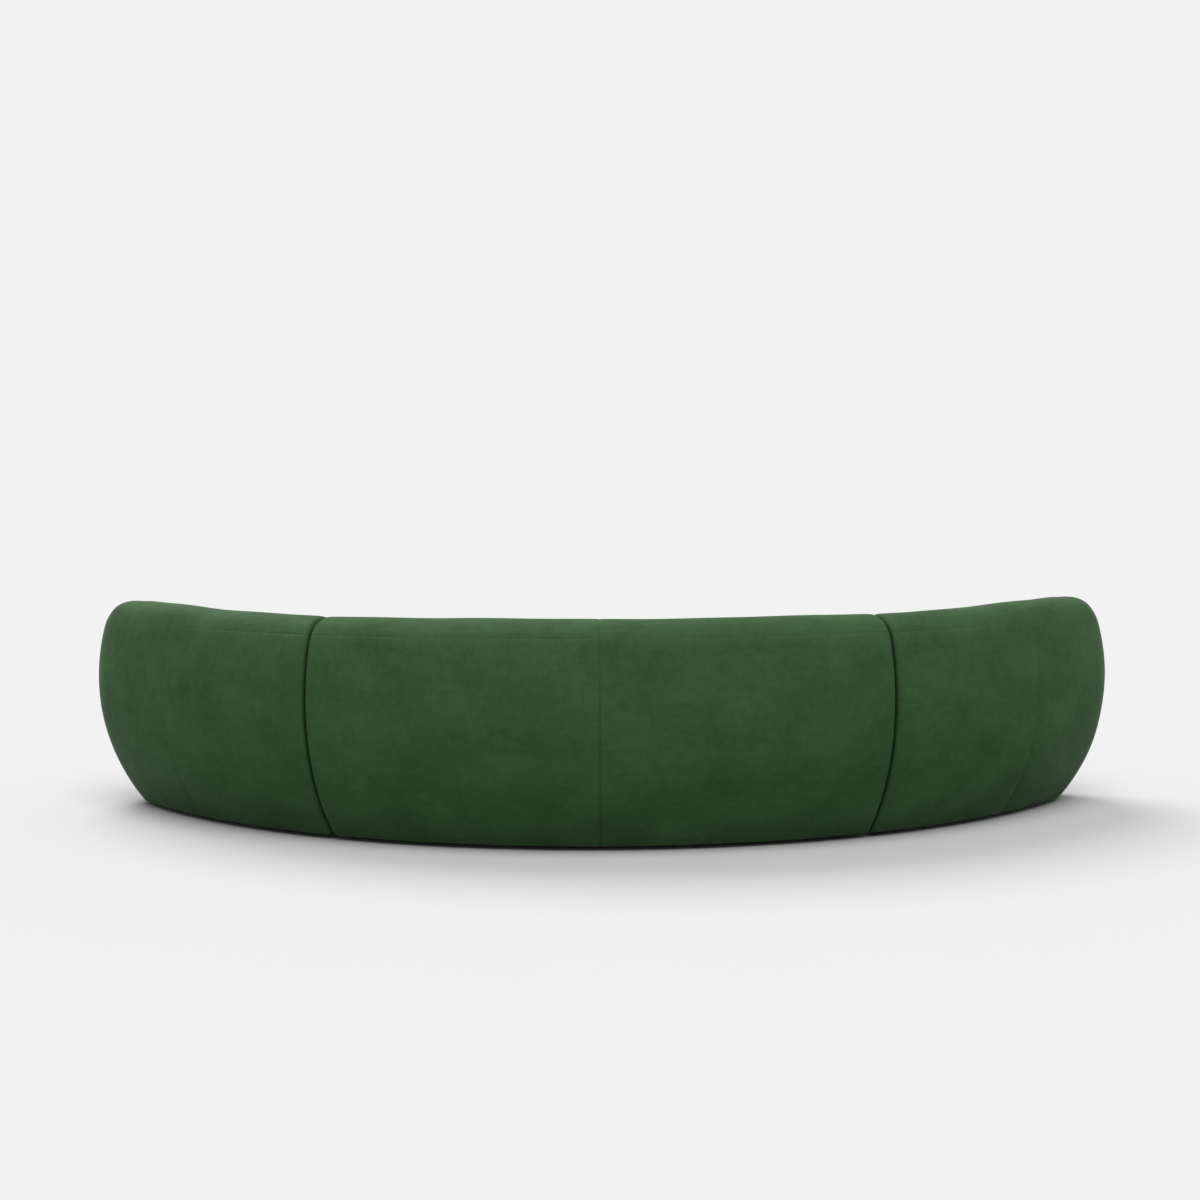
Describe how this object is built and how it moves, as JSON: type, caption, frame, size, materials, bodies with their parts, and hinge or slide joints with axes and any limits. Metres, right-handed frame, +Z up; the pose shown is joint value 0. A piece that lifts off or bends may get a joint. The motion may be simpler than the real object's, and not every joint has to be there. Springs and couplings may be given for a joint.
{
  "type": "sectional sofa",
  "caption": "curved low-backed sectional sofa in dark green velvet, upholstered modules on an arc with wrap-round ends and lift-off connectors",
  "frame": {"origin": "floor under the centre of the sofa's outline", "axes": "+X to the right as seen from the front, +Y to the back, +Z up"},
  "size_m": [3.6566, 1.4656, 0.73],
  "materials": {
    "velvet": "short-pile velvet",
    "foam": "cut polyurethane foam",
    "webbing": "woven elastic",
    "plywood": "raw birch plywood",
    "dust_cloth": "non-woven",
    "glide_plastic": "matt black",
    "steel": "zinc plated"
  },
  "bodies": {
    "middle": {"middle_back_cover": "velvet", "middle_back_ribs": "plywood", "middle_base_rail": "plywood", "middle_dust_covers": "dust_cloth", "middle_front_rail": "plywood", "middle_glide_blocks": "plywood", "middle_glides": "glide_plastic", "middle_inner_foam": "foam", "middle_inner_rail": "plywood", "middle_joining_bolts": "steel", "middle_outer_foam": "foam", "middle_rear_rail": "plywood", "middle_screws": "steel", "middle_seat_cover": "velvet", "middle_seat_foam": "foam", "middle_seat_ribs": "plywood", "middle_socket_plates": "steel", "middle_top_rail": "plywood", "middle_webbing": "webbing"},
    "left": {"left_back_cover": "velvet", "left_back_ribs": "plywood", "left_base_rail": "plywood", "left_dust_covers": "dust_cloth", "left_end_facing": "velvet", "left_front_rail": "plywood", "left_glide_blocks": "plywood", "left_glides": "glide_plastic", "left_hook_plates": "steel", "left_inner_foam": "foam", "left_inner_rail": "plywood", "left_joining_bolts": "steel", "left_outer_foam": "foam", "left_rear_rail": "plywood", "left_screws": "steel", "left_seat_cover": "velvet", "left_seat_foam": "foam", "left_seat_ribs": "plywood", "left_top_rail": "plywood", "left_webbing": "webbing"},
    "right": {"right_back_cover": "velvet", "right_back_ribs": "plywood", "right_base_rail": "plywood", "right_dust_covers": "dust_cloth", "right_end_facing": "velvet", "right_front_rail": "plywood", "right_glide_blocks": "plywood", "right_glides": "glide_plastic", "right_hook_plates": "steel", "right_inner_foam": "foam", "right_inner_rail": "plywood", "right_joining_bolts": "steel", "right_outer_foam": "foam", "right_rear_rail": "plywood", "right_screws": "steel", "right_seat_cover": "velvet", "right_seat_foam": "foam", "right_seat_ribs": "plywood", "right_top_rail": "plywood", "right_webbing": "webbing"}
  },
  "joints": [
    {"name": "left_lift", "type": "slide", "parent": "middle", "child": "left", "axis": [0, 0, 1], "range_m": [0, 0.06]},
    {"name": "right_lift", "type": "slide", "parent": "middle", "child": "right", "axis": [0, 0, 1], "range_m": [0, 0.06]}
  ]
}
